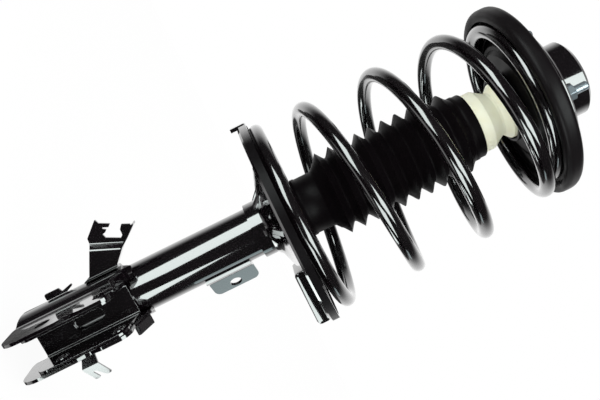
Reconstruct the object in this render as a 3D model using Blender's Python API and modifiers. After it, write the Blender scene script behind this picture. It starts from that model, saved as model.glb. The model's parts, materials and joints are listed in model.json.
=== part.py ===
# Suspension strut assembly: twin-tube damper, knuckle bracket, coil spring, spring seats, dust boot,
# bump stop, thrust bearing and top mount.
# Frame: +Z runs along the damper axis to the top mount, z = 0 is the tube's bottom face, and the two
# ears of the knuckle bracket point along -Y. Sizes are in metres.
import math

import bmesh
import bpy
import numpy as np
from mathutils import Matrix, Vector

# ---- Driving sizes ----
GAP = 0.0003            # between pieces that touch
RUNNING_GAP = 0.0005    # between pieces that slide or turn on each other
FACETS = 48             # steps round a wide turned piece
INNER_FACETS = 24       # and round one inside the damper or the mount

TUBE_RADIUS = 0.024
TUBE_WALL = 0.0025
TUBE_LENGTH = 0.290
BASE_CAP_HEIGHT = 0.006
BASE_VALVE_HEIGHT = 0.014
CYLINDER_RADIUS = 0.016         # bore of the pressure tube
CYLINDER_WALL = 0.0015
ROD_GUIDE_HEIGHT = 0.016
GUIDE_SPIGOT = 0.004            # the guide's length inside the pressure tube
ROD_SEAL_HEIGHT = 0.005
TUBE_CAP_SHEET = 0.0015
TUBE_CAP_SKIRT = 0.016

ROD_RADIUS = 0.010
ROD_THREAD_RADIUS = 0.007
PISTON_HEIGHT = 0.014
PISTON_NUT_HEIGHT = 0.009
PISTON_NUT_WIDTH = 0.019        # across flats
REBOUND_STOP_HEIGHT = 0.012

EAR_GAP = 0.029                 # thickness of the knuckle that fits between the ears
EAR_REACH = 0.070               # damper axis to the front edges of the ears
CHANNEL_SHEET = 0.0025
BRACKET_SHEET = 0.003
BRACKET_BOTTOM = -0.009         # of the wrap behind the tube
EAR_BOTTOM = -0.017             # of the ears' lower lobes
BRACKET_TOP = 0.104
BRACKET_NECK_RADIUS = 0.008     # bend from the wrap into an ear
BRACKET_BACK_TOP = 0.092        # top edge of the wrap behind the tube
CHANNEL_BOTTOM = 0.001
CHANNEL_TOP = 0.095
CHANNEL_BEND = 0.004
KNUCKLE_HOLE_RADIUS = 0.0072
KNUCKLE_HOLE_INSET = 0.018      # front edge of an ear to the hole centres
LOWER_HOLE_HEIGHT = 0.022
UPPER_HOLE_HEIGHT = 0.078
SLOT_HEIGHT = 0.051             # centre of the slot in the channel's web
SLOT_LENGTH = 0.030
SLOT_WIDTH = 0.013
LIP_WIDTH = 0.009

HOSE_BRACKET_SHEET = 0.0025
HOSE_BRACKET_BOTTOM = 0.060
HOSE_ARM = 0.0215               # from the wrap out to the fold, at the middle of its length
HOSE_SHELF_MIDDLE = 0.0294      # height of that middle above the bracket's bottom
HOSE_SHELF_LEAN = 0.43          # the fold nears the tube by this share of the height
HOSE_SHELF_DEPTH = 0.009        # along the sheet between its two folds
HOSE_WALL = 0.002               # the turned side along the upper edge
HOSE_OUTLINE = (                # distance outside the wrap, height above the bracket's bottom
    (-0.0173, -0.004), (0.0017, -0.003), (0.0047, 0.004), (0.0277, 0.0165), (0.0367, 0.0175),
    (0.0497, 0.032), (0.0452, 0.0335), (0.0402, 0.043), (0.0377, 0.040), (0.0402, 0.0345),
    (0.0387, 0.0345), (0.0367, 0.0375), (0.0347, 0.035), (0.0342, 0.032), (0.0302, 0.033),
    (0.0237, 0.0455), (0.0257, 0.048), (0.0312, 0.0485), (0.0352, 0.052), (0.0317, 0.0595),
    (0.0292, 0.058), (0.0327, 0.0635), (0.0307, 0.064), (0.0227, 0.054), (0.0162, 0.045),
    (0.0007, 0.030), (-0.0173, 0.030),
)
CABLE_TAB_SHEET = 0.002
CABLE_TAB_BOTTOM = 0.016
CABLE_TAB_HEIGHT = 0.017
CABLE_TAB_REACH = 0.0345
CLIP_SHEET = 0.002
CLIP_BOTTOM = 0.0295
CLIP_FOOT = 0.016               # along the ear
CLIP_FOLD = 0.035               # damper axis to where the fork turns back
CLIP_HEIGHT = 0.016
CLIP_REACH = 0.050
CLIP_PRONG_HEIGHT = 0.005
CLIP_LEAN = 0.0045              # how far the prongs rise towards their tips
LINK_BRACKET_SHEET = 0.003
LINK_BRACKET_DROP = 0.0155      # neck of the lower seat to the bracket's top
LINK_BRACKET_HEIGHT = 0.047
LINK_BRACKET_WIDTH = 0.027
LINK_BRACKET_TURN = 41.0        # degrees from +X to the plate, seen from above
LINK_HOLE_RADIUS = 0.006

SPRING_OFFSET = 0.0058          # the spring's axis lies this far towards +X of the damper's
SEAT_DROP = 0.039               # top of the tube to the face of the lower seat under the pad
SEAT_SHEET = 0.003
SEAT_MARGIN = 0.0055            # from the spring's outside to the seat's edge
SEAT_RIM_HEIGHT = 0.006
SEAT_NECK_LENGTH = 0.016
SEAT_CONE_DROP = 0.012
LOWER_PAD_THICKNESS = 0.004
POCKET_DEPTH = 0.013
POCKET_WIDTH = 0.040
POCKET_INSIDE = 0.044           # spring axis to the pocket's inner wall

SPRING_LENGTH = 0.2438          # as fitted
SPRING_MEAN_RADIUS = 0.0895
SPRING_WIRE = 0.0140            # diameter
SPRING_TURNS = 4.85
SPRING_START = 25.0             # degrees, the lower end of the wire
SPRING_DEAD_TURNS = 0.78        # at each end, lying on the seat
SPRING_PITCH_FALL = 0.22        # the pitch is greater by this share at the bottom than at the top
SPRING_TOP_RADIUS = 0.0755      # where the upper end closes in round the damper's axis
SPRING_POINTS = 24              # in one turn

BOOT_RIBS = 10
BOOT_RIB_RADIUS = 0.0425
BOOT_VALLEY_RADIUS = 0.0330
BOOT_WALL = 0.0016
BOOT_CUFF_LENGTH = 0.024
BOOT_COLLAR_LENGTH = 0.012
BOOT_COLLAR_RADIUS = 0.0320
BUMP_STOP_LENGTH = 0.0695
BUMP_STOP_LOBE = 0.0407         # top of the bump stop to the top of the boot
BUMP_STOP_WAIST_RADIUS = 0.0220
BUMP_STOP_TIP_RADIUS = 0.0190

UPPER_SEAT_SHEET = 0.0025
UPPER_SEAT_RADIUS = 0.0900
UPPER_PAD_THICKNESS = 0.0025    # between the spring and the seat's flange
UPPER_PAD_RADIUS = 0.0945
UPPER_PAD_WIDTH = 0.0270
UPPER_PAD_LIP = 0.0023          # over the seat's flange
UPPER_PAD_LIP_WIDTH = 0.0095
UPPER_PAD_SKIRT = 0.0085        # reach of the rubber outside the spring's top turn
UPPER_PAD_SKIRT_WIDTH = 0.0102
SHOULDER_RADIUS = 0.0665        # the shoulder that centres the spring
SHOULDER_DROP = 0.0077
STEP_RADIUS = 0.0520
STEP_DROP = 0.0030
ROD_HOLE_RADIUS = 0.0200        # in the middle of the upper seat
CUP_SHEET = 0.0025
CUP_DEPTH = 0.0112

BALL_RADIUS = 0.0045
BALL_CIRCLE = 0.0400            # radius of the circle of balls
BALLS = 12
RACE_WIDTH = 0.0120
LOWER_RACE_FLOOR = 0.0046       # metal under the groove
UPPER_RACE_ROOF = 0.0077
CAGE_WIDTH = 0.0060
CAGE_HEIGHT = 0.0026

MOUNT_SHEET = 0.003
MOUNT_RADIUS = 0.0680
MOUNT_SKIRT = 0.0060
DOME_RADIUS = 0.0370
DOME_HEIGHT = 0.0330
DOME_MOUTH_RADIUS = 0.0215
CORE_RADIUS = 0.0160
CORE_LENGTH = 0.0360
CORE_DEPTH = 0.0165             # top of the dome to the top of the core
WASHER_RADIUS = 0.0150
WASHER_THICKNESS = 0.0025
ROD_NUT_WIDTH = 0.022           # across flats
ROD_NUT_HEIGHT = 0.010
ROD_END_LENGTH = 0.003          # rod standing out of its nut
STUD_CIRCLE = 0.0540
STUD_RADIUS = 0.0040
STUD_LENGTH = 0.0220
STUD_HEAD_RADIUS = 0.0065
STUD_HEAD_HEIGHT = 0.0030
STUD_ANGLES = (-88.0, 40.0, 160.0)
MOUNT_NUT_WIDTH = 0.013
MOUNT_NUT_HEIGHT = 0.0080

# ---- Levels and radii that follow ----
tube_bore = TUBE_RADIUS - TUBE_WALL
guide_bottom = TUBE_LENGTH - ROD_SEAL_HEIGHT - ROD_GUIDE_HEIGHT - 2 * GAP
cylinder_outside = CYLINDER_RADIUS + CYLINDER_WALL
valve_bottom = BASE_CAP_HEIGHT + GAP
cylinder_bottom = valve_bottom + BASE_VALVE_HEIGHT + GAP
cap_radius = TUBE_RADIUS + GAP + TUBE_CAP_SHEET
cap_top = TUBE_LENGTH + GAP + TUBE_CAP_SHEET

wrap_inside = TUBE_RADIUS + GAP
wrap_outside = wrap_inside + BRACKET_SHEET
hose_shelf_start = wrap_outside + HOSE_ARM
hose_outline = [(-(wrap_outside + x), HOSE_BRACKET_BOTTOM + z) for x, z in HOSE_OUTLINE]
channel_half = EAR_GAP / 2 + CHANNEL_SHEET
ear_inside = channel_half + GAP
ear_outside = ear_inside + BRACKET_SHEET

seat_height = TUBE_LENGTH - SEAT_DROP
seat_radius = SPRING_MEAN_RADIUS + SPRING_WIRE / 2 + SEAT_MARGIN
seat_neck_bottom = seat_height - SEAT_SHEET - SEAT_CONE_DROP - SEAT_NECK_LENGTH
link_bracket_bottom = seat_neck_bottom - LINK_BRACKET_DROP - LINK_BRACKET_HEIGHT
pad_top = seat_height + GAP + LOWER_PAD_THICKNESS
spring_bottom = pad_top + GAP
spring_top = spring_bottom + SPRING_LENGTH
upper_pad_bottom = spring_top + GAP
flange_bottom = upper_pad_bottom + UPPER_PAD_THICKNESS + GAP
flange_top = flange_bottom + UPPER_SEAT_SHEET
outer_floor = flange_bottom - SHOULDER_DROP
inner_floor = outer_floor - STEP_DROP
cup_top = inner_floor - GAP
bump_top = cup_top - CUP_SHEET - GAP
boot_top = bump_top - BUMP_STOP_LOBE
boot_bottom = cap_top - BOOT_CUFF_LENGTH

race_bottom = inner_floor + UPPER_SEAT_SHEET + GAP
ball_height = race_bottom + LOWER_RACE_FLOOR + BALL_RADIUS + GAP
race_top = ball_height + BALL_RADIUS + GAP + UPPER_RACE_ROOF
plate_bottom = race_top + GAP
plate_top = plate_bottom + MOUNT_SHEET
dome_top = plate_top + DOME_HEIGHT
core_top = dome_top - CORE_DEPTH
core_bottom = core_top - CORE_LENGTH
rod_shoulder = core_bottom - GAP
washer_top = core_top + GAP + WASHER_THICKNESS
rod_nut_bottom = washer_top + GAP
rod_top = rod_nut_bottom + ROD_NUT_HEIGHT + ROD_END_LENGTH
rebound_top = guide_bottom - GUIDE_SPIGOT - RUNNING_GAP
rebound_bottom = rebound_top - REBOUND_STOP_HEIGHT
piston_top = rebound_bottom - GAP
piston_bottom = piston_top - PISTON_HEIGHT


# ---- Building blocks ----
def clear_scene():
    for old in list(bpy.data.objects):
        bpy.data.objects.remove(old, do_unlink=True)


def collection(name):
    made = bpy.data.collections.new(name)
    bpy.context.scene.collection.children.link(made)
    return made


def material(name, colour, roughness, metallic):
    made = bpy.data.materials.new(name)
    made.use_nodes = True
    shader = made.node_tree.nodes["Principled BSDF"]
    shader.inputs["Base Color"].default_value = (*colour, 1.0)
    shader.inputs["Roughness"].default_value = roughness
    shader.inputs["Metallic"].default_value = metallic
    return made


def add_object(name, mesh, finish):
    made = bpy.data.objects.new(name, mesh)
    if finish:
        mesh.materials.clear()
        mesh.materials.append(finish)
        parts.objects.link(made)
    else:
        made.hide_render = True
        made.display_type = "WIRE"
        cutters.objects.link(made)
    return made


def to_mesh_object(source, finish):
    """The object as its modifiers leave it, as a plain mesh object of the same name."""
    bpy.context.view_layer.update()
    graph = bpy.context.evaluated_depsgraph_get()
    mesh = bpy.data.meshes.new_from_object(source.evaluated_get(graph))
    name, place = source.name, source.matrix_world.copy()
    bpy.data.objects.remove(source, do_unlink=True)
    shape = bmesh.new()
    shape.from_mesh(mesh)
    bmesh.ops.remove_doubles(shape, verts=shape.verts, dist=1e-6)
    shape.to_mesh(mesh)
    shape.free()
    made = add_object(name, mesh, finish)
    made.matrix_world = place
    return made


def smooth(target):
    target.data.shade_smooth()
    target.data.set_sharp_from_angle(angle=math.radians(35))
    return target


def turned(name, profile, finish, centre=0.0, steps=FACETS):
    """A profile of (radius, height) points, clockwise with the radius to the right, turned round Z.
    It starts and ends on the axis, or closes on itself where no point touches the axis."""
    touches_axis = profile[0][0] == 0.0
    mesh = bpy.data.meshes.new(name)
    edges = [(i, i + 1) for i in range(len(profile) - 1)]
    if not touches_axis:
        edges.append((len(profile) - 1, 0))
    mesh.from_pydata([(r, 0.0, z) for r, z in profile], edges, [])
    made = add_object(name, mesh, finish)
    made.location.x = centre
    screw = made.modifiers.new("turn", "SCREW")
    screw.steps = screw.render_steps = steps
    screw.use_merge_vertices = True
    screw.merge_threshold = 0.00001
    screw.use_smooth_shade = True
    return made


def ring(name, inside, outside, bottom, top, finish, centre=0.0, steps=FACETS):
    profile = [(inside, top), (outside, top), (outside, bottom), (inside, bottom)]
    return turned(name, profile, finish, centre, steps)


def rod(name, radius, start, end, finish=None, sides=24):
    """A straight round bar between two points."""
    start, end = Vector(start), Vector(end)
    shape = bmesh.new()
    bmesh.ops.create_cone(shape, cap_ends=True, segments=sides, radius1=radius, radius2=radius,
                          depth=(end - start).length)
    mesh = bpy.data.meshes.new(name)
    shape.to_mesh(mesh)
    shape.free()
    made = add_object(name, mesh, finish)
    turn = (end - start).to_track_quat("Z", "Y").to_matrix().to_4x4()
    made.matrix_world = Matrix.Translation((start + end) / 2) @ turn
    return made


def block(name, low, high, finish=None, bevel=0.0):
    low, high = Vector(low), Vector(high)
    shape = bmesh.new()
    bmesh.ops.create_cube(shape, size=1.0)
    bmesh.ops.scale(shape, vec=high - low, verts=shape.verts)
    bmesh.ops.translate(shape, vec=(high + low) / 2, verts=shape.verts)
    mesh = bpy.data.meshes.new(name)
    shape.to_mesh(mesh)
    shape.free()
    made = add_object(name, mesh, finish)
    if bevel:
        edges = made.modifiers.new("bevel", "BEVEL")
        edges.width = bevel
        edges.segments = 2
    return made


def arc(centre, radius, first, last, count):
    """Points on a circle, from one angle to another in degrees."""
    angles = np.radians(np.linspace(first, last, count))
    return [(centre[0] + radius * math.cos(a), centre[1] + radius * math.sin(a)) for a in angles]


def rounded(corners, radii, steps=5):
    """A closed outline with each corner rounded by an arc of its own radius."""
    points = []
    for i, corner in enumerate(corners):
        here = Vector(corner)
        to_last = (Vector(corners[i - 1]) - here).normalized()
        to_next = (Vector(corners[(i + 1) % len(corners)]) - here).normalized()
        half = to_last.angle(to_next) / 2
        if radii[i] == 0.0 or half > math.radians(89):
            points.append(tuple(here))
            continue
        middle = here + (to_last + to_next).normalized() * radii[i] / math.sin(half)
        start = here + to_last * radii[i] / math.tan(half) - middle
        end = here + to_next * radii[i] / math.tan(half) - middle
        sweep = start.angle_signed(end)
        for k in range(steps + 1):
            turn = Matrix.Rotation(-sweep * k / steps, 2)
            points.append(tuple(middle + turn @ start))
    return points


def plate(name, outline, low, high, axis, finish=None):
    """A flat outline, thick from low to high along X or Y. It lies in YZ or XZ."""
    curve = bpy.data.curves.new(name, "CURVE")
    curve.dimensions = "2D"
    curve.fill_mode = "BOTH"
    curve.extrude = (high - low) / 2
    spline = curve.splines.new("POLY")
    spline.points.add(len(outline) - 1)
    for point, (u, v) in zip(spline.points, outline):
        point.co = (u, v, 0.0, 1.0)
    spline.use_cyclic_u = True
    drawn = bpy.data.objects.new(name, curve)
    parts.objects.link(drawn)
    middle = (low + high) / 2
    if axis == "X":
        place = Matrix(((0, 0, 1, middle), (1, 0, 0, 0), (0, 1, 0, 0), (0, 0, 0, 1)))
    else:
        place = Matrix(((1, 0, 0, 0), (0, 0, -1, middle), (0, 1, 0, 0), (0, 0, 0, 1)))
    drawn.matrix_world = place
    return to_mesh_object(drawn, finish)


def strip(name, path, bottom, top, sheet, finish, outwards=True, top_path=None):
    """A bent sheet: a path seen from above, carried up from bottom to top and given its thickness.
    A sheet with a leaning fold has another path at its top, with as many points."""
    count = len(path)
    points = [(x, y, bottom) for x, y in path] + [(x, y, top) for x, y in top_path or path]
    faces = [(i, i + 1, count + i + 1, count + i) for i in range(count - 1)]
    mesh = bpy.data.meshes.new(name)
    mesh.from_pydata(points, [], faces)
    made = add_object(name, mesh, finish)
    wall = made.modifiers.new("sheet", "SOLIDIFY")
    wall.thickness = sheet
    wall.offset = 1.0 if outwards else -1.0
    wall.use_even_offset = True
    return made


def combine(target, other, operation):
    change = target.modifiers.new(operation.lower(), "BOOLEAN")
    change.operation = operation
    change.object = other
    change.solver = "EXACT"
    return target


def hexagon(name, width, bottom, top, bore, centre, finish):
    """A nut: a six-sided bar with a bore and a chamfered top."""
    corner = width / math.sqrt(3)
    chamfer = 0.09 * width
    shape = bmesh.new()
    made_cone = bmesh.ops.create_cone(shape, cap_ends=True, segments=6, radius1=corner,
                                      radius2=corner, depth=top - bottom)
    bmesh.ops.translate(shape, vec=(0, 0, (top + bottom) / 2), verts=made_cone["verts"])
    mesh = bpy.data.meshes.new(name)
    shape.to_mesh(mesh)
    shape.free()
    nut = add_object(name, mesh, finish)
    nut.location = (*centre, 0.0)
    dome = turned(name + "_chamfer", [(0.0, top), (width / 2, top), (corner + chamfer, top - chamfer),
                                      (corner + chamfer, bottom - chamfer), (0.0, bottom - chamfer)],
                  None, steps=18)
    dome.location = nut.location
    combine(nut, dome, "INTERSECT")
    drill = rod(name + "_bore", bore, (*centre, bottom - chamfer), (*centre, top + chamfer),
                sides=18)
    return combine(nut, drill, "DIFFERENCE")


# ---- Damper ----
def build_damper(steel, paint, zinc, rubber, bronze):
    smooth(ring("strut_tube", tube_bore, TUBE_RADIUS, 0.0, TUBE_LENGTH, paint))
    dish = 0.35 * BASE_CAP_HEIGHT
    plug = tube_bore - GAP
    turned("base_cap", [(0.0, BASE_CAP_HEIGHT - dish), (0.4 * plug, BASE_CAP_HEIGHT - dish),
                        (0.7 * plug, BASE_CAP_HEIGHT), (plug, BASE_CAP_HEIGHT), (plug, 0.0),
                        (0.0, 0.0)], paint, steps=INNER_FACETS)
    foot = 0.4 * BASE_VALVE_HEIGHT
    spigot = CYLINDER_RADIUS - GAP
    shelf = valve_bottom + BASE_VALVE_HEIGHT
    spigot_height = 0.5 * BASE_VALVE_HEIGHT
    turned("base_valve", [(0.0, shelf + spigot_height), (spigot, shelf + spigot_height),
                          (spigot, shelf), (cylinder_outside, shelf),
                          (cylinder_outside, valve_bottom + foot), (plug, valve_bottom + foot),
                          (plug, valve_bottom), (0.0, valve_bottom)], steel, steps=INNER_FACETS)
    ring("pressure_tube", CYLINDER_RADIUS, cylinder_outside, cylinder_bottom,
         guide_bottom - GAP, steel, steps=INNER_FACETS)
    bore = ROD_RADIUS + RUNNING_GAP
    guide_top = guide_bottom + ROD_GUIDE_HEIGHT
    turned("rod_guide", [(bore, guide_top), (plug, guide_top), (plug, guide_bottom),
                         (spigot, guide_bottom), (spigot, guide_bottom - GUIDE_SPIGOT),
                         (bore + 0.002, guide_bottom - GUIDE_SPIGOT), (bore, guide_bottom)], bronze,
           steps=INNER_FACETS)
    seal_bottom = guide_top + GAP
    seal_top = seal_bottom + ROD_SEAL_HEIGHT
    turned("rod_seal", [(bore, seal_top), (plug, seal_top), (plug, seal_bottom),
                        (bore + 0.003, seal_bottom), (bore, seal_bottom + 0.002)], rubber,
           steps=INNER_FACETS)
    skirt_bottom = cap_top - TUBE_CAP_SKIRT
    smooth(turned("tube_cap", [(bore, cap_top), (cap_radius - 0.001, cap_top),
                               (cap_radius, cap_top - 0.001), (cap_radius, skirt_bottom),
                               (TUBE_RADIUS + GAP, skirt_bottom),
                               (TUBE_RADIUS + GAP, cap_top - TUBE_CAP_SHEET),
                               (bore, cap_top - TUBE_CAP_SHEET)], zinc, steps=36))


def build_rod(chrome, steel, ptfe, rubber, zinc):
    thread_bottom = piston_bottom - GAP - PISTON_NUT_HEIGHT - 0.002
    smooth(turned("piston_rod", [
        (0.0, rod_top), (ROD_THREAD_RADIUS - 0.001, rod_top), (ROD_THREAD_RADIUS, rod_top - 0.001),
        (ROD_THREAD_RADIUS, rod_shoulder), (ROD_RADIUS, rod_shoulder), (ROD_RADIUS, rebound_bottom),
        (ROD_THREAD_RADIUS, rebound_bottom), (ROD_THREAD_RADIUS, thread_bottom),
        (0.0, thread_bottom)], chrome, steps=INNER_FACETS))
    skirt = CYLINDER_RADIUS - RUNNING_GAP
    ring("rebound_stop", ROD_RADIUS + GAP, skirt - 0.002, rebound_bottom, rebound_top, rubber,
         steps=INNER_FACETS)
    groove_top = piston_top - 0.25 * PISTON_HEIGHT
    groove_bottom = piston_bottom + 0.25 * PISTON_HEIGHT
    waist = skirt - 0.0015
    bore = ROD_THREAD_RADIUS + GAP
    turned("piston", [(bore, piston_top), (waist, piston_top), (skirt - GAP, piston_top - 0.001),
                      (skirt - GAP, groove_top), (waist, groove_top), (waist, groove_bottom),
                      (skirt - GAP, groove_bottom), (skirt - GAP, piston_bottom),
                      (bore, piston_bottom)], steel, steps=INNER_FACETS)
    ring("piston_ring", waist + GAP, skirt, groove_bottom + GAP, groove_top - GAP, ptfe,
         steps=INNER_FACETS)
    hexagon("piston_nut", PISTON_NUT_WIDTH, piston_bottom - GAP - PISTON_NUT_HEIGHT,
            piston_bottom - GAP, bore, (0.0, 0.0), zinc)


# ---- Knuckle bracket ----
def wrap_path():
    """The inside of the bracket seen from above: ear, neck bend, round the tube's back, and again.
    The neck arc touches the tube's circle and the straight ear."""
    bend_x = ear_inside + BRACKET_NECK_RADIUS
    bend_y = -math.sqrt((wrap_inside + BRACKET_NECK_RADIUS) ** 2 - bend_x ** 2)
    touch = math.degrees(math.atan2(bend_y, bend_x))
    neck = arc((bend_x, bend_y), BRACKET_NECK_RADIUS, 180.0, 180.0 + touch, 6)
    wrap = arc((0.0, 0.0), wrap_inside, touch, 180.0 - touch, 31)
    far_neck = [(-x, y) for x, y in reversed(neck)]
    margin = 0.010
    return ([(ear_inside, -EAR_REACH - margin)] + neck + wrap[1:-1] + far_neck
            + [(-ear_inside, -EAR_REACH - margin)])


def ear_outline():
    """The bracket seen from the side, as (y, z): two lobes round the bolt holes, a shallow waist
    between them, and a top edge that falls away from the tube to the ears."""
    hole_y = -EAR_REACH + KNUCKLE_HOLE_INSET
    middle = (LOWER_HOLE_HEIGHT + UPPER_HOLE_HEIGHT) / 2
    waist = 0.004
    ear_top = UPPER_HOLE_HEIGHT + 0.7 * KNUCKLE_HOLE_INSET
    back = wrap_outside + 0.010
    corners = [
        (back, BRACKET_BOTTOM), (back, BRACKET_BACK_TOP), (0.0, BRACKET_BACK_TOP),
        (-0.45 * TUBE_RADIUS, BRACKET_TOP), (-TUBE_RADIUS - 0.001, BRACKET_TOP),
        (hole_y + 0.004, ear_top), (-EAR_REACH, ear_top),
        (-EAR_REACH, middle + 0.012), (-EAR_REACH + waist, middle), (-EAR_REACH, middle - 0.012),
        (-EAR_REACH, EAR_BOTTOM), (-TUBE_RADIUS, EAR_BOTTOM), (0.0, BRACKET_BOTTOM),
    ]
    upper_lobe, lower_lobe = 0.012, 0.020
    radii = [0.0, 0.0, 0.012, 0.004, 0.004, 0.006, upper_lobe, 0.010, 0.012, 0.010, lower_lobe,
             0.015, 0.010]
    return rounded(corners, radii)


def bolt_drill(name, height):
    far = ear_outside + 0.020
    hole_y = -EAR_REACH + KNUCKLE_HOLE_INSET
    return rod(name, KNUCKLE_HOLE_RADIUS, (-far, hole_y, height), (far, hole_y, height))


def ear_lip(side):
    """The lip turned out of an ear's falling top edge."""
    top = (-TUBE_RADIUS - 0.002, BRACKET_TOP)
    foot = (-EAR_REACH + KNUCKLE_HOLE_INSET + 0.004, UPPER_HOLE_HEIGHT + 0.7 * KNUCKLE_HOLE_INSET)
    run = Vector(foot) - Vector(top)
    along = run.normalized()
    across = Vector((-along.y, along.x))
    thick = BRACKET_SHEET
    start = Vector(top) + along * 0.002 - across * GAP
    end = Vector(foot) - across * GAP
    outline = [start, end, end + across * thick, start + across * thick]
    inner = ear_inside + 0.5 * BRACKET_SHEET
    outer = ear_outside + LIP_WIDTH
    low, high = (inner, outer) if side > 0 else (-outer, -inner)
    lip = plate("ear_lip", [tuple(p) for p in outline], low, high, "X")
    round_corner = lip.modifiers.new("bevel", "BEVEL")
    round_corner.width = 0.0012
    round_corner.segments = 1
    return lip


def build_bracket(paint):
    bracket = strip("knuckle_bracket", wrap_path(), EAR_BOTTOM - 0.010, BRACKET_TOP + 0.010,
                    BRACKET_SHEET, paint)
    side = plate("bracket_side", ear_outline(), -wrap_outside - 0.020, wrap_outside + 0.020, "X")
    combine(bracket, side, "INTERSECT")
    combine(bracket, bolt_drill("lower_bolt", LOWER_HOLE_HEIGHT), "DIFFERENCE")
    combine(bracket, bolt_drill("upper_bolt", UPPER_HOLE_HEIGHT), "DIFFERENCE")
    combine(bracket, ear_lip(1), "UNION")
    combine(bracket, ear_lip(-1), "UNION")
    smooth(bracket)


def build_channel(paint):
    """The channel between the ears: its web lies on the tube and its flanges line the ears."""
    web_back = -TUBE_RADIUS - GAP
    outside = channel_half
    bend = CHANNEL_BEND
    margin = 0.010
    corner = arc((outside - bend, web_back - bend), bend, 0.0, 90.0, 5)
    far_corner = [(-x, y) for x, y in reversed(corner)]
    path = ([(outside, -EAR_REACH - margin)] + corner + far_corner
            + [(-outside, -EAR_REACH - margin)])
    channel = strip("knuckle_channel", path, CHANNEL_BOTTOM - margin, CHANNEL_TOP + margin,
                    CHANNEL_SHEET, paint, outwards=False)
    ear_top = UPPER_HOLE_HEIGHT + 0.7 * KNUCKLE_HOLE_INSET
    setback = 0.002
    corners = [(0.0, CHANNEL_BOTTOM), (0.0, CHANNEL_TOP), (web_back - 0.006, CHANNEL_TOP),
               (-EAR_REACH + KNUCKLE_HOLE_INSET, ear_top - setback),
               (-EAR_REACH + setback, ear_top - setback), (-EAR_REACH + setback, CHANNEL_BOTTOM)]
    side = plate("channel_side", rounded(corners, [0.0, 0.0, 0.006, 0.008, 0.011, 0.011]),
                 -wrap_outside, wrap_outside, "X")
    combine(channel, side, "INTERSECT")
    combine(channel, bolt_drill("lower_channel_bolt", LOWER_HOLE_HEIGHT), "DIFFERENCE")
    combine(channel, bolt_drill("upper_channel_bolt", UPPER_HOLE_HEIGHT), "DIFFERENCE")
    half_w, half_l = SLOT_WIDTH / 2, SLOT_LENGTH / 2
    straight = half_l - half_w
    slot = (arc((0.0, SLOT_HEIGHT + straight), half_w, 0.0, 180.0, 9)
            + arc((0.0, SLOT_HEIGHT - straight), half_w, 180.0, 360.0, 9))
    window = plate("web_slot", slot, web_back - 0.008, web_back + 0.008, "Y")
    combine(channel, window, "DIFFERENCE")
    smooth(channel)


# ---- Small brackets ----
def polar(radius, degrees):
    return (radius * math.cos(math.radians(degrees)), radius * math.sin(math.radians(degrees)))


def turn_off(base, degrees, radius, direction, length):
    """The rest of a strip's path: it leaves an arc of the base at its end, bends with the given radius
    and runs straight in a direction."""
    end = Vector(base[-1])
    tangent = Vector(polar(1.0, degrees + 90.0))
    half = (-tangent).angle(direction) / 2
    corner = end + tangent * (radius / math.tan(half) + GAP)
    return rounded([tuple(end), tuple(corner), tuple(corner + direction * length)],
                   [0.0, radius, 0.0])[1:]


def hose_path(start, arm, bend):
    """The hose bracket's arm, leaning shelf and fork seen from above, for one place of its fold."""
    fold = Vector((start, arm[-1][1]))
    step = fold + HOSE_SHELF_DEPTH * Vector(polar(1.0, 120.0))
    far = Vector((start - 0.050, step.y))
    shelf = rounded([tuple(arm[-2]), tuple(fold), tuple(step), tuple(far)],
                    [0.0, bend, 0.0015, 0.0], steps=3)
    return arm[:-1] + shelf[1:]


def hose_wall(face):
    """The side turned up along the bracket's upper edge, from the wrap to the fork's tip."""
    edge = [Vector(corner) for corner in hose_outline[-5:-1]]
    inner = [point - Vector((HOSE_WALL, 0.0)) for point in edge]
    edge[-1] = edge[-1].lerp(edge[-2], 0.2)
    inner[-1] = inner[-1].lerp(inner[-2], 0.2)
    outline = [tuple(point) for point in edge + inner[::-1]]
    return plate("hose_wall", outline, face - HOSE_BRACKET_SHEET - 0.0015,
                 face + HOSE_SHELF_DEPTH + 0.001, "Y")


def build_hose_bracket(paint):
    """Base bent round the wrap, an upright plate, a leaning shelf and a fork that is open at its top,
    with a side wall along its upper edge."""
    inside = wrap_outside + GAP
    end_angle = 188.0
    base = arc((0.0, 0.0), inside, 150.0, end_angle, 10)
    bend = HOSE_BRACKET_SHEET + 0.001
    arm = turn_off(base, end_angle, bend, Vector((-1.0, 0.0)), hose_shelf_start - inside)
    low, high = HOSE_BRACKET_BOTTOM - 0.010, HOSE_BRACKET_BOTTOM + 0.0645
    middle = HOSE_BRACKET_BOTTOM + HOSE_SHELF_MIDDLE
    starts = [-hose_shelf_start + HOSE_SHELF_LEAN * (z - middle) for z in (low, high)]
    paths = [base + hose_path(start, arm, bend) for start in starts]
    bracket = strip("hose_bracket", paths[0], low, high, HOSE_BRACKET_SHEET, paint,
                    top_path=paths[1])
    radii = [0.0, 0.0] + [0.0005] * (len(hose_outline) - 4) + [0.0, 0.0]
    side = plate("hose_outline", rounded(hose_outline, radii, steps=2), -0.060, 0.060, "Y")
    combine(bracket, side, "INTERSECT")
    combine(bracket, hose_wall(arm[-1][1]), "UNION")
    smooth(bracket)


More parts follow.
